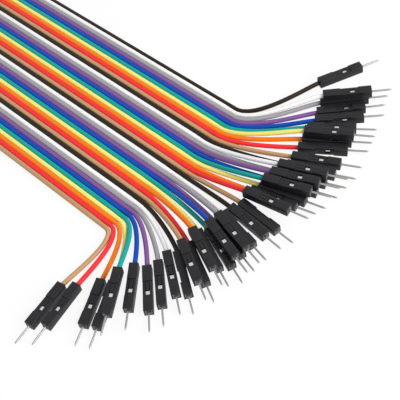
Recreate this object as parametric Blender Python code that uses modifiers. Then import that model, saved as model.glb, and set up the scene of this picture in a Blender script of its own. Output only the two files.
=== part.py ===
"""Forty-wire ribbon jumper cable with single-way male connectors, lying flat as it was put down.

The wires are bonded side by side along the middle of the cable and come apart before each end.
Every wire carries one connector at each end: a square plastic housing with a crimped pin in it.
The first ten leads are built piece by piece. The other thirty repeat them in the same ten colours.

Units are metres, with +Z up and the table at Z = 0. +X runs along the wires to the fanned end.
The origin lies on the table under the middle of the laid out cable.
"""

import math
from collections import namedtuple

import bmesh
import bpy
from mathutils import Matrix, Vector

# Wires
WIRE_DIAMETER = 0.0013
WIRE_GAP = 0.0001
WIRE_PITCH = WIRE_DIAMETER + WIRE_GAP
WIRE_TABLE_GAP = 0.00005
STRAIGHT_WIRE = 0.163  # from the rear connectors to the middle of the front fan
WIRE_ENTRY = 0.0028  # how far a wire reaches into its housing
LAST_SEPARATE_LEAD = 10

# Connector housings
HOUSING_SIDE = 0.00254
HOUSING_LENGTH = 0.014
HOUSING_GAP = 0.00015
LAYER_GAP = 0.0003
FIT_GAP = 0.00015
CAVITY_SIDE = WIRE_DIAMETER + 2 * FIT_GAP
CAVITY_DEPTH = 0.0104
LATCH_START = 0.0050
LATCH_END = 0.0102
LATCH_DEPTH = 0.0003
WINDOW_START = 0.0077
WINDOW_LENGTH = 0.0014
WINDOW_WIDTH = 0.0012
TONGUE_LENGTH = 0.0021  # the springy tongue behind the window, up to its free end
TONGUE_SLIT = 0.0002
HOOK_LENGTH = 0.0003
HOOK_INSET = 0.00005
MOUTH_SIDE = 0.0016
MOUTH_DEPTH = 0.0005

# Pins
PIN_SIDE = 0.0005
PIN_LENGTH = 0.0058  # from the housing's front face to the tip
TIP_LENGTH = 0.0008
TIP_SIDE = 0.0002
NECK_SIDE = 0.0007  # where the hook drops in behind the box of the terminal
NECK_LENGTH = HOOK_LENGTH + HOOK_INSET + 2 * FIT_GAP

# How the leads lie
CONNECTOR_PITCH = HOUSING_SIDE + HOUSING_GAP
REAR_LIFT = 0.014  # length over which a wire rises to its rear connector
# Shares of a bend's chord that its two end tangents reach over
RIBBON_EASE = 0.3
HOUSING_EASE = 0.15
REAR_STEPS = 3
FEWEST_BEND_STEPS = 3
DEGREES_PER_STEP = 15
CUT = 0.001  # how far a cutter runs past the face it opens
FUSED_ROOT = 0.0006  # how far joined pieces reach into one another

Rest = namedtuple("Rest", "along across heading layer turn split")

# Where the front connectors came to rest, from lead 1 to lead 40. Along and across place the end
# where the wire goes in, and split the place where the wire leaves the ribbon, in connector pitches.
# Heading is in degrees from +X. Layer 1 lies on top of layer 0. Turn counts quarter turns of the
# latch face, which looks up at 0, to the right of the heading at 1 and to its left at 3.
FRONT_RESTS = (
    Rest(-3.1, -17.7, -79, 0, 0, -5.1),
    Rest(-1.9, -16.75, -77.5, 0, 0, -4.95),
    Rest(-0.4, -14.85, -62.5, 0, 0, -4.7),
    Rest(0.7, -14.25, -61, 0, 1, -4.7),
    Rest(0.6, -13.2, -56, 1, 0, -4.5),
    Rest(0.8, -11.5, -50.5, 0, 0, -4.4),
    Rest(2, -10.9, -42.5, 0, 0, -4.4),
    Rest(2.4, -9.77, -40.5, 0, 0, -4.45),
    Rest(2.3, -8.45, -35, 0, 0, -4.6),
    Rest(3.15, -7.8, -33.5, 0, 1, -4.7),
    Rest(3.1, -7, -27, 1, 0, -4.85),
    Rest(3.25, -6.35, -26.5, 0, 1, -5),
    Rest(2.95, -5.3, -23, 1, 0, -5.05),
    Rest(2.95, -4.67, -22.5, 0, 1, -5.2),
    Rest(3.6, -3.85, -20, 0, 0, -5.25),
    Rest(3.55, -3.55, -16.5, 1, 0, -5),
    Rest(3.4, -2.75, -15, 0, 3, -5),
    Rest(3.65, -2.35, -14, 1, 0, -4.6),
    Rest(3.35, -1.4, -12.5, 0, 3, -4.5),
    Rest(3.45, -0.4, -5.5, 0, 0, -4.3),
    Rest(3.9, 0.68, -4, 0, 3, -4.1),
    Rest(3.8, 1.5, 10, 1, 0, -3.8),
    Rest(3.6, 2.47, 14, 0, 0, -4.1),
    Rest(3.9, 3.6, 14, 0, 3, -4.3),
    Rest(4.2, 3.85, 19, 1, 0, -4.7),
    Rest(4.15, 4.8, 18.5, 0, 3, -4.7),
    Rest(4.25, 5, 21, 1, 0, -5),
    Rest(4.2, 6.05, 21, 0, 3, -4.9),
    Rest(4.2, 6.25, 22, 1, 0, -5.1),
    Rest(4.3, 7.3, 23, 0, 3, -5.1),
    Rest(4, 8.5, 26, 0, 0, -4.9),
    Rest(3.68, 9.87, 33, 0, 1, -4.75),
    Rest(3.27, 11.05, 33, 0, 0, -4.8),
    Rest(3.36, 11.36, 31, 1, 0, -4.95),
    Rest(2.65, 12.58, 35, 0, 0, -4.9),
    Rest(2.65, 13.9, 43, 0, 1, -5),
    Rest(2.1, 14.9, 46, 0, 0, -5),
    Rest(1.45, 16.25, 45, 0, 3, -5.05),
    Rest(1.68, 16.5, 44, 1, 0, -5.4),
    Rest(-0.6, 18.55, 65.5, 0, 0, -5.6),
)
LEAD_COUNT = len(FRONT_RESTS)

WIRE_COLOURS = (
    ("brown", (0.36, 0.19, 0.085)),
    ("red", (0.80, 0.035, 0.045)),
    ("orange", (0.85, 0.14, 0.02)),
    ("yellow", (0.88, 0.72, 0.13)),
    ("green", (0.015, 0.30, 0.19)),
    ("blue", (0.015, 0.075, 0.50)),
    ("purple", (0.18, 0.065, 0.26)),
    ("grey", (0.29, 0.29, 0.30)),
    ("white", (0.86, 0.86, 0.84)),
    ("black", (0.018, 0.015, 0.013)),
)


def clear_scene():
    for found in list(bpy.data.objects):
        bpy.data.objects.remove(found, do_unlink=True)


def new_collection(name):
    collection = bpy.data.collections.new(name)
    bpy.context.scene.collection.children.link(collection)
    return collection


def make_material(name, colour, roughness, metallic=0.0):
    material = bpy.data.materials.new(name)
    material.use_nodes = True
    shader = material.node_tree.nodes["Principled BSDF"]
    shader.inputs["Base Color"].default_value = (*colour, 1.0)
    shader.inputs["Roughness"].default_value = roughness
    shader.inputs["Metallic"].default_value = metallic
    return material


def link_mesh(name, mesh, collection):
    made = bpy.data.objects.new(name, mesh)
    collection.objects.link(made)
    return made


def box_mesh(name, start, end):
    """A box between two opposite corners."""
    mesh = bpy.data.meshes.new(name)
    shape = bmesh.new()
    start, end = Vector(start), Vector(end)
    place = Matrix.Translation((start + end) / 2) @ Matrix.Diagonal((*(end - start), 1.0))
    bmesh.ops.create_cube(shape, size=1.0, matrix=place)
    shape.to_mesh(mesh)
    shape.free()
    return mesh


def square_bore(name, start, end, side):
    """A cutter with a square section, centred on the X axis."""
    return box_mesh(name, (start, -side / 2, -side / 2), (end, side / 2, side / 2))


def add_boolean(target, operand, operation):
    modifier = target.modifiers.new(operand.name, "BOOLEAN")
    modifier.operation = operation
    modifier.object = operand
    modifier.material_mode = "TRANSFER"


def hide_helper(helper):
    helper.hide_render = True
    helper.display_type = "WIRE"


def evaluated_mesh(source):
    """The mesh of an object as its modifiers or its curve settings leave it."""
    bpy.context.view_layer.update()
    graph = bpy.context.evaluated_depsgraph_get()
    return bpy.data.meshes.new_from_object(source.evaluated_get(graph))


def shaped_housing(name, material, helpers, cuts, added=()):
    """A housing, its axis along +X from the wire's end at X = 0 and its latch face up."""
    body = link_mesh(name, square_bore(name, 0, HOUSING_LENGTH, HOUSING_SIDE), helpers)
    body.data.materials.append(material)
    for operation, meshes in (("DIFFERENCE", cuts), ("UNION", added)):
        for mesh in meshes:
            mesh.materials.append(material)
            operand = link_mesh(mesh.name, mesh, helpers)
            hide_helper(operand)
            add_boolean(body, operand, operation)
    made = evaluated_mesh(body)
    hide_helper(body)
    return made


def latch_cut():
    half = HOUSING_SIDE / 2
    start = (LATCH_START, -half - CUT, half - LATCH_DEPTH)
    return box_mesh("latch_recess", start, (LATCH_END, half + CUT, half + CUT))


def window_cut(start, floor):
    end = (WINDOW_START + WINDOW_LENGTH, WINDOW_WIDTH / 2, HOUSING_SIDE / 2 + CUT)
    return box_mesh("window", (start, -WINDOW_WIDTH / 2, floor), end)


def tongue_cut(helpers):
    """The window together with the slit along each side of the tongue, which ends at the window."""
    root = WINDOW_START - TONGUE_LENGTH
    half_width = WINDOW_WIDTH / 2 - TONGUE_SLIT
    opening = link_mesh("latch_slits", window_cut(root, 0), helpers)
    top = (WINDOW_START, half_width, HOUSING_SIDE / 2 + 2 * CUT)
    tongue = link_mesh("tongue", box_mesh("tongue", (root - CUT, -half_width, -CUT), top), helpers)
    hide_helper(tongue)
    add_boolean(opening, tongue, "DIFFERENCE")
    mesh = evaluated_mesh(opening)
    hide_helper(opening)
    return mesh


def tongue_hook():
    """The lug under the tongue's free end, which drops in behind the terminal's box and holds it."""
    end = WINDOW_START - HOOK_INSET
    half_width = WINDOW_WIDTH / 2 - TONGUE_SLIT - HOOK_INSET
    top = HOUSING_SIDE / 2 - LATCH_DEPTH - HOOK_INSET
    start = (end - HOOK_LENGTH, -half_width, NECK_SIDE / 2 + FIT_GAP)
    return box_mesh("tongue_hook", start, (end, half_width, top))


def open_housing(material, helpers):
    """The whole housing: a cavity for wire and terminal, a funnelled hole for the pin, and the latch."""
    hole_side = PIN_SIDE + 2 * FIT_GAP
    cuts = (
        square_bore("wire_cavity", -CUT, CAVITY_DEPTH, CAVITY_SIDE),
        square_bore("pin_hole", CAVITY_DEPTH - CUT, HOUSING_LENGTH + CUT, hole_side),
        square_bore("pin_mouth", HOUSING_LENGTH - MOUTH_DEPTH, HOUSING_LENGTH + CUT, MOUTH_SIDE),
        latch_cut(),
        tongue_cut(helpers),
    )
    return shaped_housing("open_housing", material, helpers, cuts, (tongue_hook(),))


def plain_housing(name, material, helpers, more_cuts=()):
    """The housing of a lead in one piece, solid where only the pin and the wire's end would be."""
    cuts = (square_bore("wire_entry", -CUT, WIRE_ENTRY, CAVITY_SIDE), latch_cut(), *more_cuts)
    return shaped_housing(name, material, helpers, cuts)


def pin_mesh(name, material, helpers, rear_steps):
    """A pin as four-sided turned steps, in the housing's place. Each step is its end and its side."""
    corner = math.sqrt(0.5)
    tip = HOUSING_LENGTH + PIN_LENGTH
    steps = ((tip, 0), (tip, TIP_SIDE), (tip - TIP_LENGTH, PIN_SIDE), *rear_steps)
    mesh = bpy.data.meshes.new(name)
    points = [(side * corner, 0, along) for along, side in steps]
    mesh.from_pydata(points, [(i, i + 1) for i in range(len(points) - 1)], [])
    profile = link_mesh(name, mesh, helpers)
    profile.data.materials.append(material)
    turn = profile.modifiers.new("four_sides", "SCREW")
    turn.steps = 4
    turn.render_steps = 4
    turn.use_smooth_shade = False
    turn.use_merge_vertices = True
    turn.merge_threshold = 0.00001
    made = evaluated_mesh(profile)
    made.transform(Matrix.Rotation(math.radians(90), 4, "Y") @ Matrix.Rotation(math.radians(45), 4, "Z"))
    hide_helper(profile)
    return made


def crimped_pin(material, helpers):
    """The whole pin: the box behind it, the neck that the hook holds, and the barrel crimped on the wire."""
    full_side = CAVITY_SIDE - 2 * FIT_GAP
    box_end = CAVITY_DEPTH - FIT_GAP
    box_start = WINDOW_START + FIT_GAP
    barrel_end = box_start - NECK_LENGTH
    barrel_start = WIRE_ENTRY + FIT_GAP
    box = ((box_end, PIN_SIDE), (box_end, full_side), (box_start, full_side))
    neck = ((box_start, NECK_SIDE), (barrel_end, NECK_SIDE))
    barrel = ((barrel_end, full_side), (barrel_start, full_side), (barrel_start, 0))
    return pin_mesh("crimped_pin", material, helpers, (*box, *neck, *barrel))


def fused_pin(material, helpers):
    """The part of the pin that stands out of a solid housing, with its root inside."""
    root = HOUSING_LENGTH - FUSED_ROOT
    return pin_mesh("fused_pin", material, helpers, ((root, PIN_SIDE), (root, 0)))


def connector_height(layer):
    return HOUSING_SIDE / 2 + layer * (HOUSING_SIDE + LAYER_GAP)


def ribbon_height():
    return WIRE_DIAMETER / 2 + WIRE_TABLE_GAP


def wire_offset(lead):
    """Where the lead lies across the ribbon."""
    return (lead - (LEAD_COUNT + 1) / 2) * WIRE_PITCH


def rear_layer(lead):
    return (lead + 1) % 2


def rear_place(lead):
    """The rear connectors lie in two rows, one on the other, with every second lead in the upper one."""
    row_pitch = max(2 * WIRE_PITCH, CONNECTOR_PITCH)
    across = (lead - (LEAD_COUNT + 1) / 2) * row_pitch / 2
    return Vector((-STRAIGHT_WIRE, across, connector_height(rear_layer(lead)))), math.radians(180)


def front_place(lead):
    rest = FRONT_RESTS[lead - 1]
    along, across = rest.along * CONNECTOR_PITCH, rest.across * CONNECTOR_PITCH
    return Vector((along, across, connector_height(rest.layer))), math.radians(rest.heading)


def connector_tip(place, heading):
    reach = HOUSING_LENGTH + PIN_LENGTH
    return place + Vector((math.cos(heading), math.sin(heading), 0)) * reach


def laid_out_middle():
    """The point of the table under the middle of the cable's outline."""
    tips = [connector_tip(*find(lead)) for lead in range(1, LEAD_COUNT + 1) for find in (rear_place, front_place)]
    along = [tip.x for tip in tips]
    across = [tip.y for tip in tips]
    return Vector(((min(along) + max(along)) / 2, (min(across) + max(across)) / 2, 0))


def eased(share):
    return share * share * (3 - 2 * share)


def bend_points(start, end, heading, steps):
    """Points from a straight run along +X at start to a heading at end, rising evenly on the way."""
    chord = math.hypot(end.x - start.x, end.y - start.y)
    leave = start + Vector((chord * RIBBON_EASE, 0, 0))
    arrive = end - Vector((math.cos(heading), math.sin(heading), 0)) * chord * HOUSING_EASE
    points = []
    for step in range(steps + 1):
        t = step / steps
        point = start * (1 - t) ** 3 + leave * 3 * t * (1 - t) ** 2 + arrive * 3 * t * t * (1 - t) + end * t ** 3
        point.z = start.z + (end.z - start.z) * eased(t)
        points.append(point)
    return points


def wire_points(lead, front_reach, rear_reach):
    """The wire's centre line from inside its rear housing to inside its front one."""
    height = ribbon_height()
    rear, _ = rear_place(lead)
    rest = FRONT_RESTS[lead - 1]
    front, heading = front_place(lead)
    points = [rear - Vector((rear_reach, 0, 0))]
    lifted = Vector((rear.x + REAR_LIFT, wire_offset(lead), height))
    for step in range(REAR_STEPS + 1):
        share = eased(step / REAR_STEPS)
        along = rear.x + REAR_LIFT * step / REAR_STEPS
        points.append(Vector((along, *(rear.lerp(lifted, share)).yz)))
    split = Vector((rest.split * CONNECTOR_PITCH, wire_offset(lead), height))
    steps = FEWEST_BEND_STEPS + round(abs(rest.heading) / DEGREES_PER_STEP)
    points += bend_points(split, front, heading, steps)
    points.append(front + Vector((math.cos(heading), math.sin(heading), 0)) * front_reach)
    middle = laid_out_middle()
    return [point - middle for point in points]


def wire_curve(name, points, material, collection):
    data = bpy.data.curves.new(name, "CURVE")
    data.dimensions = "3D"
    data.bevel_depth = WIRE_DIAMETER / 2
    data.bevel_resolution = 2
    data.use_fill_caps = True
    spline = data.splines.new("POLY")
    spline.points.add(len(points) - 1)
    for target, point in zip(spline.points, points):
        target.co = (*point, 1.0)
    data.materials.append(material)
    made = bpy.data.objects.new(name, data)
    collection.objects.link(made)
    return made


def curve_as_mesh(curve, collection):
    """Replaces a curve by a mesh object of the same name and place, with its caps welded on."""
    name = curve.name
    mesh = evaluated_mesh(curve)
    shape = bmesh.new()
    shape.from_mesh(mesh)
    bmesh.ops.remove_doubles(shape, verts=shape.verts, dist=0.00001)
    shape.to_mesh(mesh)
    shape.free()
    place = curve.matrix_world.copy()
    bpy.data.objects.remove(curve, do_unlink=True)
    made = link_mesh(name, mesh, collection)
    made.matrix_world = place
    return made


def connector_matrix(place, heading, turn):
    spot = Matrix.Translation(place - laid_out_middle())
    return spot @ Matrix.Rotation(heading, 4, "Z") @ Matrix.Rotation(math.radians(90) * turn, 4, "X")


def add_connector(names, meshes, place, heading, turn, collection):
    """A housing and its pin, or a pair of helpers of that shape to be joined to a wire."""
    made = []
    for name, mesh in zip(names, meshes):
        piece = link_mesh(name, mesh, collection)
        piece.matrix_world = connector_matrix(place, heading, turn)
        made.append(piece)
    return made


def fuse(wire, pieces):
    """Joins a connector's housing to its wire, and the pin to the housing."""
    for piece in pieces:
        hide_helper(piece)
        add_boolean(wire, piece, "UNION")


def add_separate_lead(lead, colour, meshes, cable, helpers):
    """A lead whose front housing and pin are pieces of their own."""
    fused_reach = WIRE_ENTRY + FUSED_ROOT
    points = wire_points(lead, WIRE_ENTRY, fused_reach)
    wire = curve_as_mesh(wire_curve(f"wire_{lead:02d}", points, colour, cable), cable)
    names = (f"rear_housing_{lead:02d}", f"rear_pin_{lead:02d}")
    fuse(wire, add_connector(names, meshes["rear"], *rear_place(lead), 0, helpers))
    names = (f"front_housing_{lead:02d}", f"front_pin_{lead:02d}")
    turn = FRONT_RESTS[lead - 1].turn
    add_connector(names, meshes["front"], *front_place(lead), turn, cable)


def add_fused_lead(lead, colour, meshes, cable, helpers):
    """A lead that is one piece, wire and both connectors."""
    fused_reach = WIRE_ENTRY + FUSED_ROOT
    points = wire_points(lead, fused_reach, fused_reach)
    wire = curve_as_mesh(wire_curve(f"lead_{lead:02d}", points, colour, cable), cable)
    names = (f"rear_housing_{lead:02d}", f"rear_pin_{lead:02d}")
    fuse(wire, add_connector(names, meshes["rear"], *rear_place(lead), 0, helpers))
    names = (f"front_housing_{lead:02d}", f"front_pin_{lead:02d}")
    turn = FRONT_RESTS[lead - 1].turn
    fuse(wire, add_connector(names, meshes["fused_front"], *front_place(lead), turn, helpers))


def build():
    clear_scene()
    cable = new_collection("ribbon_jumper_cable")
    helpers = new_collection("cutters")
    housing = make_material("housing_black", (0.022, 0.022, 0.027), 0.45)
    metal = make_material("pin_metal", (0.62, 0.61, 0.58), 0.28, 1.0)
    colours = [make_material(f"wire_{name}", colour, 0.42) for name, colour in WIRE_COLOURS]
    window = window_cut(WINDOW_START, CAVITY_SIDE / 2)
    joined_pin = fused_pin(metal, helpers)
    meshes = {
        "front": (open_housing(housing, helpers), crimped_pin(metal, helpers)),
        "fused_front": (plain_housing("fused_front", housing, helpers, (window,)), joined_pin),
        "rear": (plain_housing("fused_rear", housing, helpers), joined_pin),
    }
    for lead in range(1, LEAD_COUNT + 1):
        colour = colours[(lead - 1) % len(colours)]
        add_lead = add_separate_lead if lead <= LAST_SEPARATE_LEAD else add_fused_lead
        add_lead(lead, colour, meshes, cable, helpers)


build()
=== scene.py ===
"""Dresses the forty-wire ribbon jumper cable: bonded wires, single-way housings and crimped pins.

Everything is in metres in the frame of the cable, with +Z up, the table at Z = 0 and +X running
along the wires towards the fanned connectors. Each lead is one wire with a housing and a terminal
at both ends, and all of it rides on the cable's only body.
"""

from __future__ import annotations

import logging
import math
from dataclasses import dataclass
from enum import Enum

import bmesh
import bpy
from mathutils import Matrix, Vector

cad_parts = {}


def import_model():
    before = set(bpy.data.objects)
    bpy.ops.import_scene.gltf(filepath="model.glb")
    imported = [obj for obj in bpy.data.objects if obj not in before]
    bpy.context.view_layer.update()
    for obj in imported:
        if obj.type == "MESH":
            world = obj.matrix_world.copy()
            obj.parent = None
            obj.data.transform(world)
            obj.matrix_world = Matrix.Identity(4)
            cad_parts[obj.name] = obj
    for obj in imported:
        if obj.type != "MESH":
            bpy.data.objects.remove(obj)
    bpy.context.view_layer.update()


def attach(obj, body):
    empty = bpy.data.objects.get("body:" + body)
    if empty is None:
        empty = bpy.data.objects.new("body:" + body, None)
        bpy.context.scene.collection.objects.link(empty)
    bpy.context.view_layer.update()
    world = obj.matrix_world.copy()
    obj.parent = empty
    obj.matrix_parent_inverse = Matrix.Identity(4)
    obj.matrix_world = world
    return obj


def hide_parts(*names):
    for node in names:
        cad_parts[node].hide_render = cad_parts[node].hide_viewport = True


LOG = logging.getLogger("ribbon_jumper_cable")
MM = 0.001
BODY = "root"
# The point of the table that the camera looks at, from the ribbon's own zero.
AIM_FROM_RIBBON = Vector((0, -3.82 * MM, 0))
# A noise texture swings about this value.
NOISE_MIDDLE = 0.5


class Latch(Enum):
    """Which way a housing's latch face looks, in quarter turns about its length."""

    UP = 0
    RIGHT = 1
    LEFT = 3


@dataclass(frozen=True)
class Rest:
    """Where one front connector came to rest.

    Along and across place the end where the wire goes in, and split the place where the wire
    leaves the ribbon, all in connector pitches. Heading is in degrees from +X, and layer 1 lies
    on top of layer 0.
    """

    along: float
    across: float
    heading: float
    layer: int
    latch: Latch
    split: float


UP, RIGHT, LEFT = Latch.UP, Latch.RIGHT, Latch.LEFT

# The front connectors from lead 1, the first brown wire, to lead 40, the last black one.
FRONT_RESTS = (
    Rest(-3.1, -17.7, -79, 0, UP, -5.1),
    Rest(-1.9, -16.75, -77.5, 0, UP, -4.95),
    Rest(-0.4, -14.85, -62.5, 0, UP, -4.7),
    Rest(0.7, -14.25, -61, 0, RIGHT, -4.7),
    Rest(0.6, -13.2, -56, 1, UP, -4.5),
    Rest(0.8, -11.5, -50.5, 0, UP, -4.4),
    Rest(2, -10.9, -42.5, 0, UP, -4.4),
    Rest(2.4, -9.77, -40.5, 0, UP, -4.45),
    Rest(2.3, -8.45, -35, 0, UP, -4.6),
    Rest(3.15, -7.8, -33.5, 0, RIGHT, -4.7),
    Rest(3.1, -7, -27, 1, UP, -4.85),
    Rest(3.25, -6.35, -26.5, 0, RIGHT, -5),
    Rest(2.95, -5.3, -23, 1, UP, -5.05),
    Rest(2.95, -4.67, -22.5, 0, RIGHT, -5.2),
    Rest(3.6, -3.85, -20, 0, UP, -5.25),
    Rest(3.55, -3.55, -16.5, 1, UP, -5),
    Rest(3.4, -2.75, -15, 0, LEFT, -5),
    Rest(3.65, -2.35, -14, 1, UP, -4.6),
    Rest(3.35, -1.4, -12.5, 0, LEFT, -4.5),
    Rest(3.45, -0.4, -5.5, 0, UP, -4.3),
    Rest(3.9, 0.68, -4, 0, LEFT, -4.1),
    Rest(3.8, 1.5, 10, 1, UP, -3.8),
    Rest(3.6, 2.47, 14, 0, UP, -4.1),
    Rest(3.9, 3.6, 14, 0, LEFT, -4.3),
    Rest(4.2, 3.85, 19, 1, UP, -4.7),
    Rest(4.15, 4.8, 18.5, 0, LEFT, -4.7),
    Rest(4.25, 5, 21, 1, UP, -5),
    Rest(4.2, 6.05, 21, 0, LEFT, -4.9),
    Rest(4.2, 6.25, 22, 1, UP, -5.1),
    Rest(4.3, 7.3, 23, 0, LEFT, -5.1),
    Rest(4, 8.5, 26, 0, UP, -4.9),
    Rest(3.68, 9.87, 33, 0, RIGHT, -4.75),
    Rest(3.27, 11.05, 33, 0, UP, -4.8),
    Rest(3.36, 11.36, 31, 1, UP, -4.95),
    Rest(2.65, 12.58, 35, 0, UP, -4.9),
    Rest(2.65, 13.9, 43, 0, RIGHT, -5),
    Rest(2.1, 14.9, 46, 0, UP, -5),
    Rest(1.45, 16.25, 45, 0, LEFT, -5.05),
    Rest(1.68, 16.5, 44, 1, UP, -5.4),
    Rest(-0.6, 18.55, 65.5, 0, UP, -5.6),
)


@dataclass(frozen=True)
class Place:
    """A connector's place: the middle of its wire end, its heading in radians and its latch."""

    spot: Vector
    heading: float
    latch: Latch

    def ahead(self, distance: float) -> Vector:
        """The point that far in front of the wire end, along the connector."""
        return self.spot + Vector((math.cos(self.heading), math.sin(self.heading), 0)) * distance

    def matrix(self) -> Matrix:
        """Puts a piece that is built along +X with its latch face up into this place."""
        turned = Matrix.Rotation(self.heading, 4, "Z")
        rolled = Matrix.Rotation(math.radians(90) * self.latch.value, 4, "X")
        return Matrix.Translation(self.spot) @ turned @ rolled


@dataclass(frozen=True)
class CableLayout:
    """The route of every wire and the place of every connector, as the solids have them."""

    wire_diameter: float = 1.3 * MM
    wire_pitch: float = 1.4 * MM
    wire_table_gap: float = 0.05 * MM
    straight_wire: float = 163 * MM
    housing_side: float = 2.54 * MM
    housing_length: float = 14 * MM
    housing_gap: float = 0.15 * MM
    layer_gap: float = 0.3 * MM
    pin_length: float = 5.8 * MM
    rear_lift: float = 14 * MM
    ribbon_ease: float = 0.3
    housing_ease: float = 0.15
    lift_steps: int = 12
    straight_step: float = 4 * MM
    bend_step: float = 0.8 * MM
    last_separate_lead: int = 10

    @property
    def connector_pitch(self) -> float:
        """The distance between housings that lie side by side."""
        return self.housing_side + self.housing_gap

    @property
    def middle(self) -> Vector:
        """The table's point under the middle of the laid out cable, from the ribbon's own zero."""
        reach = self.housing_length + self.pin_length
        leads = range(1, len(FRONT_RESTS) + 1)
        ends = (self.raw_rear, self.raw_front)
        tips = [find(lead).ahead(reach) for lead in leads for find in ends]
        along = [tip.x for tip in tips]
        across = [tip.y for tip in tips]
        return Vector(((min(along) + max(along)) / 2, (min(across) + max(across)) / 2, 0))

    def connector_height(self, layer: int) -> float:
        """The height of a connector's axis in its layer."""
        return self.housing_side / 2 + layer * (self.housing_side + self.layer_gap)

    def wire_offset(self, lead: int) -> float:
        """Where the lead lies across the ribbon."""
        return (lead - (len(FRONT_RESTS) + 1) / 2) * self.wire_pitch

    def raw_rear(self, lead: int) -> Place:
        """A rear connector's place, measured from the ribbon's own zero."""
        row_pitch = max(2 * self.wire_pitch, self.connector_pitch)
        across = (lead - (len(FRONT_RESTS) + 1) / 2) * row_pitch / 2
        height = self.connector_height((lead + 1) % 2)
        return Place(Vector((-self.straight_wire, across, height)), math.pi, Latch.UP)

    def raw_front(self, lead: int) -> Place:
        """A front connector's place, measured from the ribbon's own zero."""
        rest = FRONT_RESTS[lead - 1]
        along, across = rest.along * self.connector_pitch, rest.across * self.connector_pitch
        spot = Vector((along, across, self.connector_height(rest.layer)))
        return Place(spot, math.radians(rest.heading), rest.latch)

    def rear(self, lead: int) -> Place:
        """A rear connector's place in the cable's frame."""
        raw = self.raw_rear(lead)
        return Place(raw.spot - self.middle, raw.heading, raw.latch)

    def front(self, lead: int) -> Place:
        """A front connector's place in the cable's frame."""
        raw = self.raw_front(lead)
        return Place(raw.spot - self.middle, raw.heading, raw.latch)

    def split(self, lead: int) -> float:
        """Where the lead leaves the ribbon, along X in the cable's frame."""
        return FRONT_RESTS[lead - 1].split * self.connector_pitch - self.middle.x

    def centreline(self, lead: int, reach: float) -> list[Vector]:
        """The middle of a wire from its rear connector to its front one.

        Args:
            lead: The lead's number, from 1.
            reach: How far the wire runs on inside each housing.

        Returns:
            Points in the cable's frame, close together where the wire bends.
        """
        height = self.wire_diameter / 2 + self.wire_table_gap
        rear, front = self.rear(lead), self.front(lead)
        across = self.wire_offset(lead) - self.middle.y
        lifted = Vector((rear.spot.x + self.rear_lift, across, height))
        points = [rear.ahead(reach), rear.ahead(reach / 2)]
        for step in range(self.lift_steps + 1):
            share = step / self.lift_steps
            risen = rear.spot.lerp(lifted, eased(share))
            points.append(Vector((rear.spot.x + self.rear_lift * share, risen.y, risen.z)))
        split = Vector((self.split(lead), across, height))
        count = math.ceil((split.x - lifted.x) / self.straight_step)
        points += [lifted.lerp(split, step / count) for step in range(1, count)]
        points += self.bend(split, front)
        return points + [front.ahead(reach / 2), front.ahead(reach)]

    def bend(self, start: Vector, front: Place) -> list[Vector]:
        """The curve from the straight ribbon at start to a front connector, rising evenly."""
        end = front.spot
        chord = math.hypot(end.x - start.x, end.y - start.y)
        leave = start + Vector((chord * self.ribbon_ease, 0, 0))
        arrive = front.ahead(-chord * self.housing_ease)
        count = math.ceil(chord / self.bend_step)
        points = []
        for step in range(count + 1):
            t = step / count
            point = start * (1 - t) ** 3 + leave * 3 * t * (1 - t) ** 2
            point += arrive * 3 * t * t * (1 - t) + end * t**3
            point.z = start.z + (end.z - start.z) * eased(t)
            points.append(point)
        return points


def eased(share: float) -> float:
    """A share from 0 to 1 that starts and ends gently."""
    return share * share * (3 - 2 * share)


def clamped(value: float) -> float:
    """The value kept between 0 and 1."""
    return min(1.0, max(0.0, value))


class NodeBench:
    """Adds and joins the nodes of one node tree."""

    def __init__(self, tree: bpy.types.NodeTree) -> None:
        """Takes the tree to work on."""
        self.tree = tree

    def add(self, kind: str, values: dict | None = None, **settings: object) -> bpy.types.Node:
        """Adds a node.

        Args:
            kind: The node's type name.
            values: Values of its input sockets, by name or number.
            settings: Its other properties.

        Returns:
            The new node.
        """
        node = self.tree.nodes.new(kind)
        for name, value in settings.items():
            setattr(node, name, value)
        for socket, value in (values or {}).items():
            node.inputs[socket].default_value = value
        return node

    def join(self, source: bpy.types.NodeSocket, target: bpy.types.NodeSocket) -> None:
        """Links an output to an input."""
        self.tree.links.new(source, target)

    def maths(self, operation: str, first: object, second: object = 0.0) -> bpy.types.NodeSocket:
        """A Math node on two sockets or numbers, and its result."""
        node = self.add("ShaderNodeMath", operation=operation)
        for socket, value in zip(node.inputs, (first, second)):
            if isinstance(value, bpy.types.NodeSocket):
                self.join(value, socket)
            else:
                socket.default_value = value
        return node.outputs[0]


def new_group(name: str, inputs: dict[str, object], outputs: dict[str, str]) -> NodeBench:
    """Starts a shader node group.

    Args:
        name: The group's name.
        inputs: The default of each input. Four numbers make a colour, and one a float.
        outputs: The socket type of each output.

    Returns:
        A bench on the group's tree, which already holds its input and output nodes.
    """
    tree = bpy.data.node_groups.new(name, "ShaderNodeTree")
    for label, default in inputs.items():
        kind = "NodeSocketColor" if isinstance(default, tuple) else "NodeSocketFloat"
        socket = tree.interface.new_socket(name=label, in_out="INPUT", socket_type=kind)
        socket.default_value = default
    for label, kind in outputs.items():
        tree.interface.new_socket(name=label, in_out="OUTPUT", socket_type=kind)
    tree.nodes.new("NodeGroupInput").name = "given"
    tree.nodes.new("NodeGroupOutput").name = "made"
    return NodeBench(tree)


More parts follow.
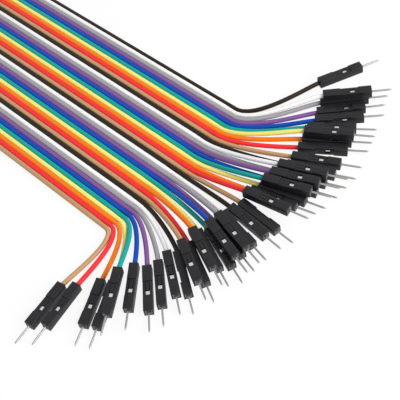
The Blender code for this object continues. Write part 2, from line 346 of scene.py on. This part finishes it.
@dataclass
class SurfaceGroups:
    """The node groups that several finishes share."""

    mottle: bpy.types.NodeTree | None = None
    drawn: bpy.types.NodeTree | None = None
    line_breaks: float = 4.0

    def build(self) -> None:
        """Makes both groups."""
        self.mottle = self.make_mottle()
        self.drawn = self.make_drawn()

    def make_mottle(self) -> bpy.types.NodeTree:
        """Cloudy changes of tone and gloss over a fine grain, in the piece's own space."""
        inputs = {
            "Colour": (0.5, 0.5, 0.5, 1.0),
            "Tone": 0.05,
            "Cloud Scale": 200.0,
            "Grain Scale": 6000.0,
            "Roughness": 0.5,
            "Roughness Spread": 0.1,
        }
        outputs = {
            "Colour": "NodeSocketColor",
            "Roughness": "NodeSocketFloat",
            "Height": "NodeSocketFloat",
        }
        bench = new_group("mottled_surface", inputs, outputs)
        given = bench.tree.nodes["given"].outputs
        made = bench.tree.nodes["made"].inputs
        place = bench.add("ShaderNodeTexCoord").outputs["Object"]
        cloud = bench.add("ShaderNodeTexNoise", {"Detail": 3.0, "Roughness": 0.6})
        grain = bench.add("ShaderNodeTexNoise", {"Detail": 2.0, "Roughness": 0.5})
        for noise, scale in ((cloud, "Cloud Scale"), (grain, "Grain Scale")):
            bench.join(place, noise.inputs["Vector"])
            bench.join(given[scale], noise.inputs["Scale"])
        swing = bench.maths("SUBTRACT", cloud.outputs["Fac"], NOISE_MIDDLE)
        brighter = bench.maths("ADD", bench.maths("MULTIPLY", swing, given["Tone"]), 1.0)
        tint = bench.add("ShaderNodeVectorMath", operation="SCALE")
        bench.join(given["Colour"], tint.inputs[0])
        bench.join(brighter, tint.inputs["Scale"])
        bench.join(tint.outputs[0], made["Colour"])
        duller = bench.maths("MULTIPLY", swing, given["Roughness Spread"])
        bench.join(bench.maths("ADD", duller, given["Roughness"]), made["Roughness"])
        bench.join(grain.outputs["Fac"], made["Height"])
        return bench.tree

    def make_drawn(self) -> bpy.types.NodeTree:
        """Faint lines along a drawn or extruded piece, from its own map of length and girth."""
        bench = new_group("drawn_lines", {"Lines": 60.0}, {"Height": "NodeSocketFloat"})
        given = bench.tree.nodes["given"].outputs
        spot = bench.add("ShaderNodeUVMap").outputs["UV"]
        apart = bench.add("ShaderNodeSeparateXYZ")
        bench.join(spot, apart.inputs[0])
        beside = bench.maths("MULTIPLY", apart.outputs["Y"], given["Lines"])
        along = bench.maths("MULTIPLY", apart.outputs["X"], self.line_breaks)
        both = bench.add("ShaderNodeCombineXYZ")
        bench.join(along, both.inputs["X"])
        bench.join(beside, both.inputs["Y"])
        noise = bench.add("ShaderNodeTexNoise", {"Scale": 1.0, "Detail": 2.0})
        bench.join(both.outputs[0], noise.inputs["Vector"])
        bench.join(noise.outputs["Fac"], bench.tree.nodes["made"].inputs["Height"])
        return bench.tree


@dataclass(frozen=True)
class Finish:
    """A mottled finish on a Principled BSDF, with a fine grain in its bump."""

    name: str
    colour: tuple[float, float, float]
    roughness: float
    tone: float = 0.06
    cloud_scale: float = 220.0
    grain_scale: float = 5000.0
    roughness_spread: float = 0.12
    bump: float = 0.1
    grain_depth: float = 0.01 * MM
    metallic: float = 0.0
    lines: float = 0.0
    line_share: float = 0.5

    def make(self, groups: SurfaceGroups) -> bpy.types.Material:
        """Builds the material.

        Args:
            groups: The shared node groups.

        Returns:
            The finished material.
        """
        material = bpy.data.materials.new(self.name)
        material.use_nodes = True
        bench = NodeBench(material.node_tree)
        shader = material.node_tree.nodes["Principled BSDF"]
        shader.inputs["Metallic"].default_value = self.metallic
        surface = bench.add("ShaderNodeGroup", node_tree=groups.mottle)
        values = {
            "Colour": (*self.colour, 1.0),
            "Tone": self.tone,
            "Cloud Scale": self.cloud_scale,
            "Grain Scale": self.grain_scale,
            "Roughness": self.roughness,
            "Roughness Spread": self.roughness_spread,
        }
        for socket, value in values.items():
            surface.inputs[socket].default_value = value
        bench.join(surface.outputs["Roughness"], shader.inputs["Roughness"])
        bench.join(self.coloured(bench, surface.outputs["Colour"]), shader.inputs["Base Color"])
        height = surface.outputs["Height"]
        if self.lines:
            drawn = bench.add("ShaderNodeGroup", node_tree=groups.drawn)
            drawn.inputs["Lines"].default_value = self.lines
            share = bench.maths("MULTIPLY", drawn.outputs["Height"], self.line_share)
            height = bench.maths("ADD", height, share)
        bump = bench.add("ShaderNodeBump", {"Strength": self.bump, "Distance": self.grain_depth})
        bench.join(height, bump.inputs["Height"])
        bench.join(bump.outputs["Normal"], shader.inputs["Normal"])
        self.polish(shader)
        return material

    def coloured(self, bench: NodeBench, colour: bpy.types.NodeSocket) -> bpy.types.NodeSocket:
        """What a kind of finish adds to its colour. The plain one adds nothing."""
        return colour

    def polish(self, shader: bpy.types.Node) -> None:
        """What a kind of finish sets on the shader itself. The plain one sets nothing."""


@dataclass(frozen=True)
class InsulationFinish(Finish):
    """Extruded PVC insulation: satin, evenly coloured, with faint lines along it."""

    roughness: float = 0.4
    lines: float = 40.0
    refraction: float = 1.5
    specular: float = 0.18

    def polish(self, shader: bpy.types.Node) -> None:
        """PVC lets a little light in, and its gloss is soft."""
        shader.inputs["IOR"].default_value = self.refraction
        shader.inputs["Specular IOR Level"].default_value = self.specular


@dataclass(frozen=True)
class NylonFinish(Finish):
    """Black moulded nylon, paler along its long edges, with a painted highlight in the funnel of
    its mouth.
    """

    edge_colour: tuple[float, float, float] = (0.035, 0.035, 0.04)
    # Painted highlight: the funnel of the mouth is paled as if its chamfer caught the light.
    mouth_painted_highlight: tuple[float, float, float] = (0.17, 0.17, 0.18)
    mouth_start: float = 13.5 * MM
    mouth_reach: float = 0.84 * MM
    specular: float = 0.24
    half_side: float = 1.27 * MM
    edge_width: float = 0.12 * MM

    def coloured(self, bench: NodeBench, colour: bpy.types.NodeSocket) -> bpy.types.NodeSocket:
        """Pales the colour where two long faces meet, and paints a highlight into the funnel of
        the mouth.

        Args:
            bench: The material's bench.
            colour: The mottled colour.

        Returns:
            The colour with paler edges and a painted highlight in the mouth.
        """
        apart = bench.add("ShaderNodeSeparateXYZ")
        bench.join(bench.add("ShaderNodeTexCoord").outputs["Object"], apart.inputs[0])
        near, outs = [], [bench.maths("ABSOLUTE", apart.outputs[axis]) for axis in ("Y", "Z")]
        for out in outs:
            rise = bench.add("ShaderNodeMapRange", {
                "From Min": self.half_side - self.edge_width,
                "From Max": self.half_side,
            })
            bench.join(out, rise.inputs["Value"])
            near.append(rise.outputs["Result"])
        edge = bench.maths("MULTIPLY", near[0], near[1])
        ahead = bench.maths("GREATER_THAN", apart.outputs["X"], self.mouth_start)
        inside = bench.maths("LESS_THAN", bench.maths("MAXIMUM", *outs), self.mouth_reach)
        mouth = bench.maths("MULTIPLY", ahead, inside)
        # Paler long edges, then a painted highlight in the mouth's funnel.
        for share, paler in ((edge, self.edge_colour), (mouth, self.mouth_painted_highlight)):
            mix = bench.add("ShaderNodeMix", data_type="RGBA")
            bench.join(share, mix.inputs["Factor"])
            bench.join(colour, mix.inputs["A"])
            mix.inputs["B"].default_value = (*paler, 1.0)
            colour = mix.outputs["Result"]
        return colour

    def polish(self, shader: bpy.types.Node) -> None:
        """The mould's fine texture keeps the gloss low."""
        shader.inputs["Specular IOR Level"].default_value = self.specular


@dataclass(frozen=True)
class TinFinish(Finish):
    """Tin plate over brass, bright at the box behind the window, with painted shade over the crimp
    inside the housing and a darker bare pin.
    """

    metallic: float = 1.0
    bump: float = 0.03
    # Painted shade: the crimp end sits inside the housing, so its metal is darkened from the
    # window back.
    crimp_painted_shade: tuple[float, float, float] = (0.10, 0.10, 0.10)
    crimp_from: float = 7.3 * MM
    crimp_to: float = 7.7 * MM
    bare_colour: tuple[float, float, float] = (0.36, 0.36, 0.35)
    bare_from: float = 12 * MM
    bare_to: float = 14.5 * MM

    def coloured(self, bench: NodeBench, colour: bpy.types.NodeSocket) -> bpy.types.NodeSocket:
        """Darkens the crimp with painted shade, as it lies inside the housing, and darkens the
        bare pin.

        Args:
            bench: The material's bench.
            colour: The mottled colour.

        Returns:
            The colour, with painted shade on the crimp and darker along the bare pin.
        """
        apart = bench.add("ShaderNodeSeparateXYZ")
        bench.join(bench.add("ShaderNodeTexCoord").outputs["Object"], apart.inputs[0])
        # Painted shade over the crimp first, then the darker bare pin.
        for bright, dull, duller in (
            (self.crimp_to, self.crimp_from, self.crimp_painted_shade),
            (self.bare_from, self.bare_to, self.bare_colour),
        ):
            share = bench.add("ShaderNodeMapRange", {"From Min": bright, "From Max": dull})
            bench.join(apart.outputs["X"], share.inputs["Value"])
            mix = bench.add("ShaderNodeMix", data_type="RGBA")
            bench.join(share.outputs["Result"], mix.inputs["Factor"])
            bench.join(colour, mix.inputs["A"])
            mix.inputs["B"].default_value = (*duller, 1.0)
            colour = mix.outputs["Result"]
        return colour


class WireColour(Enum):
    """The ten colours of the ribbon, in order, as finishes of their insulation."""

    BROWN = InsulationFinish("wire_brown", (0.55, 0.32, 0.155))
    RED = InsulationFinish("wire_red", (0.93, 0.034, 0.044))
    ORANGE = InsulationFinish("wire_orange", (0.95, 0.21, 0.008))
    YELLOW = InsulationFinish("wire_yellow", (0.90, 0.85, 0.21))
    GREEN = InsulationFinish("wire_green", (0.003, 0.36, 0.32))
    BLUE = InsulationFinish("wire_blue", (0.001, 0.070, 0.46))
    PURPLE = InsulationFinish("wire_purple", (0.225, 0.098, 0.32))
    GREY = InsulationFinish("wire_grey", (0.36, 0.345, 0.37))
    WHITE = InsulationFinish("wire_white", (0.93, 0.93, 0.925))
    BLACK = InsulationFinish("wire_black", (0.018, 0.010, 0.005))

    @classmethod
    def of_lead(cls, lead: int) -> "WireColour":
        """The colour of a lead, which comes back every ten."""
        return list(cls)[(lead - 1) % len(cls)]


HOUSING_FINISH = NylonFinish("housing_black", (0.013, 0.013, 0.016), 0.42)
PIN_FINISH = TinFinish("pin_metal", (0.66, 0.65, 0.64), 0.3, tone=0.5, cloud_scale=2600.0)


def mesh_object(name: str, mesh: bpy.types.Mesh) -> bpy.types.Object:
    """A new object in the scene with that mesh."""
    made = bpy.data.objects.new(name, mesh)
    bpy.context.scene.collection.objects.link(made)
    return made


def rounded_rectangle(
    half_width: float, half_height: float, radius: float, steps: int
) -> list[tuple[float, float]]:
    """The outline of a rounded rectangle.

    Args:
        half_width: Half its width, along Y.
        half_height: Half its height, along Z.
        radius: The corner radius.
        steps: Into how many steps each corner is cut.

    Returns:
        Points from the right, turning towards the top, four corners of steps + 1 points.
    """
    points = []
    for corner, (side, level) in enumerate(((1, 1), (-1, 1), (-1, -1), (1, -1))):
        for step in range(steps + 1):
            angle = math.radians(90) * (corner + step / steps)
            points.append((
                side * (half_width - radius) + radius * math.cos(angle),
                level * (half_height - radius) + radius * math.sin(angle),
            ))
    return points


def lofted(name: str, rings: list[list[Vector]]) -> bpy.types.Mesh:
    """A closed skin over rings of points, with a map of length and girth.

    Args:
        name: The mesh's name.
        rings: Rings of as many points each, in order along the piece.

    Returns:
        The mesh, shaded smooth.
    """
    mesh = bpy.data.meshes.new(name)
    shape = bmesh.new()
    layer = shape.loops.layers.uv.new("length_and_girth")
    rows = [[shape.verts.new(point) for point in ring] for ring in rings]
    around = len(rings[0])
    middles = [sum(ring, Vector()) / around for ring in rings]
    run = [0.0]
    for a, b in zip(middles, middles[1:]):
        run.append(run[-1] + (b - a).length / MM)
    for k, (row, after) in enumerate(zip(rows, rows[1:])):
        for i in range(around):
            j = (i + 1) % around
            face = shape.faces.new((row[i], row[j], after[j], after[i]))
            face.smooth = True
            girths = (i / around, (i + 1) / around, (i + 1) / around, i / around)
            lengths = (run[k], run[k], run[k + 1], run[k + 1])
            for loop, length, girth in zip(face.loops, lengths, girths):
                loop[layer].uv = (length, girth)
    shape.faces.new(reversed(rows[0]))
    shape.faces.new(rows[-1])
    bmesh.ops.recalc_face_normals(shape, faces=shape.faces)
    shape.to_mesh(mesh)
    shape.free()
    return mesh


@dataclass(frozen=True)
class InsulatedWire:
    """One wire of the ribbon, with the seams that bond it to its neighbours."""

    layout: CableLayout
    lead: int
    diameter: float = 1.34 * MM
    facets: int = 24
    seam_overlap: float = 0.004 * MM
    seam_fade: float = 2.5 * MM
    squareness: float = 0.6
    reach: float = 2.7 * MM

    @property
    def name(self) -> str:
        """The piece's name."""
        return f"insulated_wire_{self.lead:02d}"

    def seam(self, point: Vector, neighbour: int) -> float:
        """How much of the seam to a neighbouring lead is there at a point, from 0 to 1.

        Args:
            point: A point of the wire's centreline.
            neighbour: The lead on that side.

        Returns:
            1 along the bonded ribbon, falling to 0 where the wires come apart.
        """
        if not 1 <= neighbour <= len(FRONT_RESTS):
            return 0.0
        front = min(self.layout.split(self.lead), self.layout.split(neighbour))
        rear = self.layout.rear(self.lead).spot.x + self.layout.rear_lift
        to_front = clamped((front - point.x) / self.seam_fade)
        from_rear = clamped((point.x - rear) / self.seam_fade)
        return eased(min(to_front, from_rear))

    def ring(self, point: Vector, along: Vector) -> list[Vector]:
        """The wire's outline at a point of its centreline."""
        side = Vector((0, 0, 1)).cross(along).normalized()
        up = along.cross(side).normalized()
        edge = self.layout.wire_pitch / 2 + self.seam_overlap
        seams = {1: self.seam(point, self.lead + 1), -1: self.seam(point, self.lead - 1)}
        points = []
        for i in range(self.facets):
            angle = math.tau * i / self.facets
            across, height = math.cos(angle), math.sin(angle)
            hand = 1 if across > 0 else -1
            share = seams[hand]
            squared = abs(across) ** (1 - self.squareness * share)
            reach = self.diameter / 2 + (edge - self.diameter / 2) * share
            points.append(point + side * hand * squared * reach + up * height * self.diameter / 2)
        return points

    def build(self, finish: bpy.types.Material) -> bpy.types.Object:
        """Makes the wire along its route.

        Args:
            finish: The insulation's material.

        Returns:
            The wire.
        """
        line = self.layout.centreline(self.lead, self.reach)
        ahead = [b - a for a, b in zip([line[0], *line], [*line[1:], line[-1]])]
        along = [(a + b).normalized() for a, b in zip(ahead, [*ahead[1:], ahead[-1]])]
        rings = [self.ring(point, heading) for point, heading in zip(line, along)]
        wire = mesh_object(self.name, lofted(self.name, rings))
        wire.data.materials.append(finish)
        return wire


@dataclass(frozen=True)
class Housing:
    """A single-way moulded housing, built along +X from the wire's end with its latch face up."""

    side: float = 2.54 * MM
    length: float = 14 * MM
    edge: float = 0.1 * MM
    edge_steps: int = 3
    cavity_side: float = 1.6 * MM
    cavity_depth: float = 10.4 * MM
    entry_flare: float = 0.15 * MM
    latch_start: float = 5.0 * MM
    latch_end: float = 10.2 * MM
    latch_depth: float = 0.3 * MM
    window_start: float = 7.7 * MM
    window_end: float = 9.1 * MM
    window_width: float = 1.2 * MM
    tongue_length: float = 2.1 * MM
    tongue_slit: float = 0.14 * MM
    mouth_side: float = 1.6 * MM
    mouth_depth: float = 0.5 * MM
    hole_side: float = 0.8 * MM
    hole_flare: float = 0.2 * MM
    slit_skin: float = 0.002 * MM
    margin: float = 1 * MM
    overrun: float = 0.1 * MM
    crease: float = 0.03 * MM
    crease_steps: int = 2
    crease_angle: float = 35

    def box(
        self, low: tuple[float, float, float], high: tuple[float, float, float]
    ) -> bpy.types.Object:
        """A plain box between two corners, as a cutter or a blank."""
        mesh = bpy.data.meshes.new("cutter")
        shape = bmesh.new()
        start, end = Vector(low), Vector(high)
        place = Matrix.Translation((start + end) / 2) @ Matrix.Diagonal((*(end - start), 1.0))
        bmesh.ops.create_cube(shape, size=1.0, matrix=place)
        shape.to_mesh(mesh)
        shape.free()
        return mesh_object("cutter", mesh)

    def funnel(self, start: float, end: float, near: float, far: float) -> bpy.types.Object:
        """A square cutter along X whose side changes from near to far."""
        rings = []
        for along, side in ((start, near), (end, far)):
            half = side / 2
            outline = ((half, half), (-half, half), (-half, -half), (half, -half))
            rings.append([Vector((along, y, z)) for y, z in outline])
        return mesh_object("cutter", lofted("cutter", rings))

    def cutters(self) -> list[bpy.types.Object]:
        """Everything that is taken out of the blank."""
        half, over = self.side / 2, self.margin
        slit_start = self.window_start - self.tongue_length
        slit_in = self.window_width / 2 - self.tongue_slit
        cavity, hole, window = self.cavity_side / 2, self.hole_side / 2, self.window_width / 2
        front, beyond, overrun = self.length, half + over, self.overrun
        mouth_start = front - self.mouth_depth
        mouth_near, mouth_far = self.hole_side + self.hole_flare, self.mouth_side + overrun
        flare_near = self.cavity_side + 2 * self.entry_flare + 2 * overrun
        flare_far = self.cavity_side - overrun / 10
        latch_floor = half - self.latch_depth
        cut = [
            self.box((-over, -cavity, -cavity), (self.cavity_depth, cavity, cavity)),
            self.funnel(-overrun, self.entry_flare, flare_near, flare_far),
            self.box((self.cavity_depth - over, -hole, -hole), (front + over, hole, hole)),
            self.funnel(mouth_start, front + overrun, mouth_near, mouth_far),
            self.box((self.latch_start, -beyond, latch_floor), (self.latch_end, beyond, beyond)),
            self.box((self.window_start, -window, 0), (self.window_end, window, beyond)),
        ]
        slit_end = self.window_start + over / 4
        for side in (-1, 1):
            low, high = sorted((side * slit_in, side * (window - self.slit_skin)))
            cut.append(self.box((slit_start, low, 0), (slit_end, high, beyond)))
        return cut

    def build(self, finish: bpy.types.Material) -> bpy.types.Mesh:
        """Moulds the housing once, for all the connectors to share.

        Args:
            finish: The nylon's material.

        Returns:
            The mesh.
        """
        half = self.side / 2
        body = self.box((0, -half, -half), (self.length, half, half))
        rounded = body.modifiers.new("rounded", "BEVEL")
        rounded.width = self.edge
        rounded.segments = self.edge_steps
        cutters = self.cutters()
        for cutter in cutters:
            cut = body.modifiers.new("cut", "BOOLEAN")
            cut.operation = "DIFFERENCE"
            cut.object = cutter
        crease = body.modifiers.new("crease", "BEVEL")
        crease.width = self.crease
        crease.segments = self.crease_steps
        crease.limit_method = "ANGLE"
        crease.angle_limit = math.radians(self.crease_angle)
        bpy.context.view_layer.update()
        graph = bpy.context.evaluated_depsgraph_get()
        mesh = bpy.data.meshes.new_from_object(body.evaluated_get(graph))
        mesh.name = "connector_housing"
        for spent in (body, *cutters):
            bpy.data.objects.remove(spent)
        mesh.materials.clear()
        mesh.materials.append(finish)
        mesh.shade_smooth()
        mesh.set_sharp_from_angle(angle=math.radians(self.crease_angle))
        return mesh


@dataclass(frozen=True)
class Terminal:
    """A crimped male pin, in the same place and direction as its housing."""

    pin_side: float = 0.5 * MM
    tip_side: float = 0.2 * MM
    tip: float = 19.8 * MM
    tip_length: float = 0.8 * MM
    pin_start: float = 10.2 * MM
    pin_round: float = 0.16 * MM
    shoulder: float = 0.35 * MM
    box_side: float = 1.3 * MM
    box_start: float = 7.85 * MM
    neck_width: float = 0.9 * MM
    neck_height: float = 0.5 * MM
    barrel_end: float = 7.2 * MM
    barrel_start: float = 4.9 * MM
    barrel_width: float = 1.15 * MM
    barrel_height: float = 0.95 * MM
    clasp_end: float = 4.6 * MM
    clasp_start: float = 3.0 * MM
    clasp_side: float = 1.5 * MM
    clasp_round: float = 0.72 * MM
    clasp_lip_round: float = 0.7 * MM
    strip_width: float = 0.8 * MM
    strip_height: float = 0.6 * MM
    barrel_round: float = 0.3 * MM
    strip_round: float = 0.12 * MM
    tip_round: float = 0.08 * MM
    lip: float = 0.04 * MM
    corner_steps: int = 3
    crease_angle: float = 40

    def sections(self) -> list[tuple[float, float, float, float]]:
        """Place, width, height and corner radius of each section, from the wire to the tip."""
        low, pin, box, step = self.strip_round, self.pin_side, self.box_side, self.lip
        shoulder = self.pin_start - self.shoulder
        clasp = (self.clasp_side, self.clasp_side, self.clasp_round)
        clasp_lip = (self.clasp_side - step, self.clasp_side - step, self.clasp_lip_round)
        strip = (self.strip_width, self.strip_height, low)
        barrel = (self.barrel_width, self.barrel_height, self.barrel_round)
        neck = (self.neck_width, self.neck_height, low)
        box_lip = (box - 2 * step, box - 2 * step, low)
        shaft = (pin, pin, self.pin_round)
        return [
            (self.clasp_start, *clasp_lip),
            (self.clasp_start + step, *clasp),
            (self.clasp_end, *clasp),
            (self.clasp_end + step, *strip),
            (self.barrel_start - step, *strip),
            (self.barrel_start, *barrel),
            (self.barrel_end - step, *barrel),
            (self.barrel_end, *neck),
            (self.box_start - step, *neck),
            (self.box_start, *box_lip),
            (self.box_start + step, box, box, low),
            (shoulder - step, box, box, low),
            (shoulder, *box_lip),
            (self.pin_start, *shaft),
            (self.tip - self.tip_length, *shaft),
            (self.tip - step, self.tip_side + step, self.tip_side + step, self.tip_round),
            (self.tip, self.tip_side, self.tip_side, self.tip_round),
        ]

    def build(self, finish: bpy.types.Material) -> bpy.types.Mesh:
        """Makes the terminal once, for all the connectors to share.

        Args:
            finish: The plated metal's material.

        Returns:
            The mesh.
        """
        rings = []
        for along, width, height, radius in self.sections():
            outline = rounded_rectangle(width / 2, height / 2, radius, self.corner_steps)
            rings.append([Vector((along, y, z)) for y, z in outline])
        mesh = lofted("crimped_terminal", rings)
        mesh.materials.append(finish)
        mesh.set_sharp_from_angle(angle=math.radians(self.crease_angle))
        return mesh


@dataclass(frozen=True)
class Lead:
    """A whole lead: its wire, and a housing with a terminal at each end."""

    layout: CableLayout
    lead: int
    colour: WireColour
    wire_finish: bpy.types.Material
    housing_mesh: bpy.types.Mesh
    terminal_mesh: bpy.types.Mesh

    def solids(self) -> dict[str, str]:
        """The solid that each of the lead's pieces stands for."""
        if self.lead > self.layout.last_separate_lead:
            whole = f"lead_{self.lead:02d}"
            return {"wire": whole, "front_housing": whole, "front_terminal": whole}
        return {
            "wire": f"wire_{self.lead:02d}",
            "front_housing": f"front_housing_{self.lead:02d}",
            "front_terminal": f"front_pin_{self.lead:02d}",
        }

    def connector(self, end: str, place: Place) -> list[bpy.types.Object]:
        """The housing and the terminal at one end.

        Args:
            end: The word for that end in the pieces' names.
            place: Where the connector lies.

        Returns:
            The two pieces.
        """
        solids = self.solids()
        made = []
        for kind, mesh, slot in (
            ("housing", self.housing_mesh, HOUSING_FINISH.name),
            ("terminal", self.terminal_mesh, PIN_FINISH.name),
        ):
            piece = mesh_object(f"{end}_{kind}_of_lead_{self.lead:02d}", mesh)
            piece.matrix_world = place.matrix()
            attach(piece, BODY)
            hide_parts(solids.get(f"{end}_{kind}", solids["wire"]))
            made.append(piece)
        return made

    def build(self) -> None:
        """Makes the lead's five pieces."""
        wire_maker = InsulatedWire(self.layout, self.lead)
        wire = wire_maker.build(self.wire_finish)
        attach(wire, BODY)
        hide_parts(self.solids()["wire"])
        pieces = self.connector("rear", self.layout.rear(self.lead))
        pieces += self.connector("front", self.layout.front(self.lead))
        line = self.layout.centreline(self.lead, wire_maker.reach)


@dataclass(frozen=True)
class Studio:
    """The white table, the soft light and a camera fitted to the photograph."""

    aim: Vector
    heading: float = 143.5
    pitch: float = 51.15
    roll: float = 12.2
    distance: float = 255.4 * MM
    lens: float = 82.8
    sensor: float = 36
    near_clip: float = 10 * MM
    table_side: float = 4.0
    table_colour: float = 0.95
    table_roughness: float = 0.9
    table_glow: float = 0.86
    sky: float = 0.56
    seen_sky: float = 1.0
    key_share: float = 1.1
    key_turn: float = 20
    key_rise: float = 36
    key_distance: float = 0.8
    key_size: float = 0.7

    def build(self) -> None:
        """Makes all of it."""
        self.camera()
        self.table()
        self.world()
        self.lamps()

    def camera(self) -> None:
        """Places the camera where the fit puts the photograph's."""
        turn, down, lean = (math.radians(angle) for angle in (self.heading, self.pitch, self.roll))
        flat = math.cos(down)
        look = Vector((math.cos(turn) * flat, math.sin(turn) * flat, -math.sin(down)))
        right = look.cross(Vector((0, 0, 1))).normalized()
        up = right.cross(look)
        leaned_right = right * math.cos(lean) - up * math.sin(lean)
        leaned_up = right * math.sin(lean) + up * math.cos(lean)
        axes = Matrix((leaned_right, leaned_up, -look)).transposed().to_4x4()
        data = bpy.data.cameras.new("camera")
        data.lens = self.lens
        data.sensor_width = self.sensor
        data.clip_start = self.near_clip
        camera = bpy.data.objects.new("camera", data)
        bpy.context.scene.collection.objects.link(camera)
        camera.matrix_world = Matrix.Translation(self.aim - look * self.distance) @ axes
        bpy.context.scene.camera = camera

    def shown_to_lens(self, bench: NodeBench) -> bpy.types.NodeSocket:
        """1 on the rays that reach the camera straight, by a mirror or through glass."""
        rays = bench.add("ShaderNodeLightPath").outputs
        mirrored = bench.maths("MAXIMUM", rays["Is Camera Ray"], rays["Is Glossy Ray"])
        return bench.maths("MAXIMUM", mirrored, rays["Is Transmission Ray"])

    def table(self) -> None:
        """A white table top that keeps a faint shadow."""
        mesh = bpy.data.meshes.new("table")
        shape = bmesh.new()
        bmesh.ops.create_grid(shape, x_segments=1, y_segments=1, size=self.table_side / 2)
        shape.to_mesh(mesh)
        shape.free()
        table = mesh_object("table", mesh)
        material = bpy.data.materials.new("white_table")
        material.use_nodes = True
        bench = NodeBench(material.node_tree)
        shader = material.node_tree.nodes["Principled BSDF"]
        shader.inputs["Base Color"].default_value = (*[self.table_colour] * 3, 1.0)
        shader.inputs["Roughness"].default_value = self.table_roughness
        glow = bench.add("ShaderNodeEmission", {"Color": (1.0, 1.0, 1.0, 1.0), "Strength": 1.0})
        mix = bench.add("ShaderNodeMixShader")
        shown = bench.maths("MULTIPLY", self.shown_to_lens(bench), self.table_glow)
        bench.join(shown, mix.inputs[0])
        bench.join(shader.outputs[0], mix.inputs[1])
        bench.join(glow.outputs[0], mix.inputs[2])
        bench.join(mix.outputs[0], material.node_tree.nodes["Material Output"].inputs["Surface"])
        table.data.materials.append(material)

    def world(self) -> None:
        """A plain white surround, dimmer as a light than as a background."""
        world = bpy.data.worlds.new("studio")
        bpy.context.scene.world = world
        world.use_nodes = True
        bench = NodeBench(world.node_tree)
        back = world.node_tree.nodes["Background"]
        back.inputs["Color"].default_value = (1.0, 1.0, 1.0, 1.0)
        brighter = bench.maths("MULTIPLY", self.shown_to_lens(bench), self.seen_sky - self.sky)
        bench.join(bench.maths("ADD", brighter, self.sky), back.inputs["Strength"])

    def lamps(self) -> None:
        """A large soft key light from the open side of the fan, at a plain level."""
        data = bpy.data.lights.new("key", "AREA")
        data.size = self.key_size
        data.energy = self.key_share * math.pi**2 * self.key_distance**2
        key = bpy.data.objects.new("key", data)
        bpy.context.scene.collection.objects.link(key)
        turn, rise = math.radians(self.key_turn), math.radians(self.key_rise)
        flat = math.cos(rise)
        back = Vector((math.cos(turn) * flat, math.sin(turn) * flat, math.sin(rise)))
        key.location = self.aim + back * self.key_distance
        key.rotation_mode = "QUATERNION"
        key.rotation_quaternion = (-back).to_track_quat("-Z", "Y")


def main() -> None:
    """Builds the studio and the forty leads."""
    logging.basicConfig(level=logging.INFO, format="%(message)s")
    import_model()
    layout = CableLayout()
    bpy.context.scene.view_settings.view_transform = "Standard"
    Studio(AIM_FROM_RIBBON - layout.middle).build()
    groups = SurfaceGroups()
    groups.build()
    insulation = {colour: colour.value.make(groups) for colour in WireColour}
    housing = Housing().build(HOUSING_FINISH.make(groups))
    terminal = Terminal().build(PIN_FINISH.make(groups))
    for lead in range(1, len(FRONT_RESTS) + 1):
        colour = WireColour.of_lead(lead)
        Lead(layout, lead, colour, insulation[colour], housing, terminal).build()


if __name__ == "__main__":
    main()
